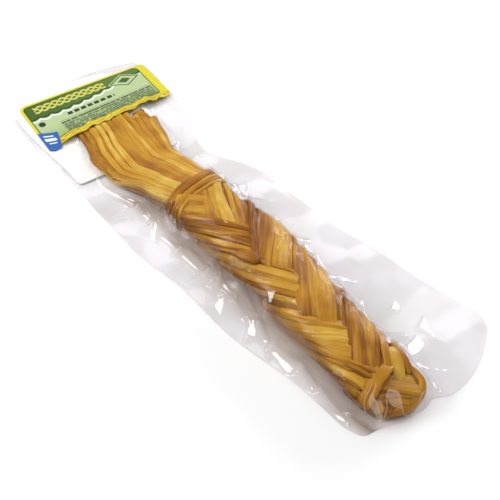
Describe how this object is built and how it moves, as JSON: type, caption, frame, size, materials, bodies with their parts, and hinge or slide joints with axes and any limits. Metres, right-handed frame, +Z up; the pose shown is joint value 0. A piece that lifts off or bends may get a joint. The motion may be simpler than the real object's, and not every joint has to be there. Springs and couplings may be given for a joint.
{
  "type": "smoked braided cheese",
  "caption": "Smoked string cheese plaited into a thick braid with a tied tassel and a folded loop, vacuum packed flat in a clear bag with a white card and a printed label.",
  "frame": {"origin": "under the middle of the bag's box, on the surface that it lies on", "axes": "+X along the bag from the label end to the loop end, +Z up out of the face with the label"},
  "size_m": [0.368, 0.1328, 0.0303],
  "materials": {
    "smoked_cheese": "semi-matt golden smoked cheese, ochre ridges and brown creases",
    "tie_cheese": "semi-matt browner smoked cheese string",
    "clear_film": "clear glossy vacuum film",
    "white_card": "smooth white card",
    "label_print": "satin paper label, green panels with a yellow border and a blue corner badge"
  },
  "bodies": {
    "root": {"braid": "smoked_cheese", "neck_band": "tie_cheese", "bag": "clear_film", "card": "white_card", "label": "label_print"}
  },
  "joints": []
}
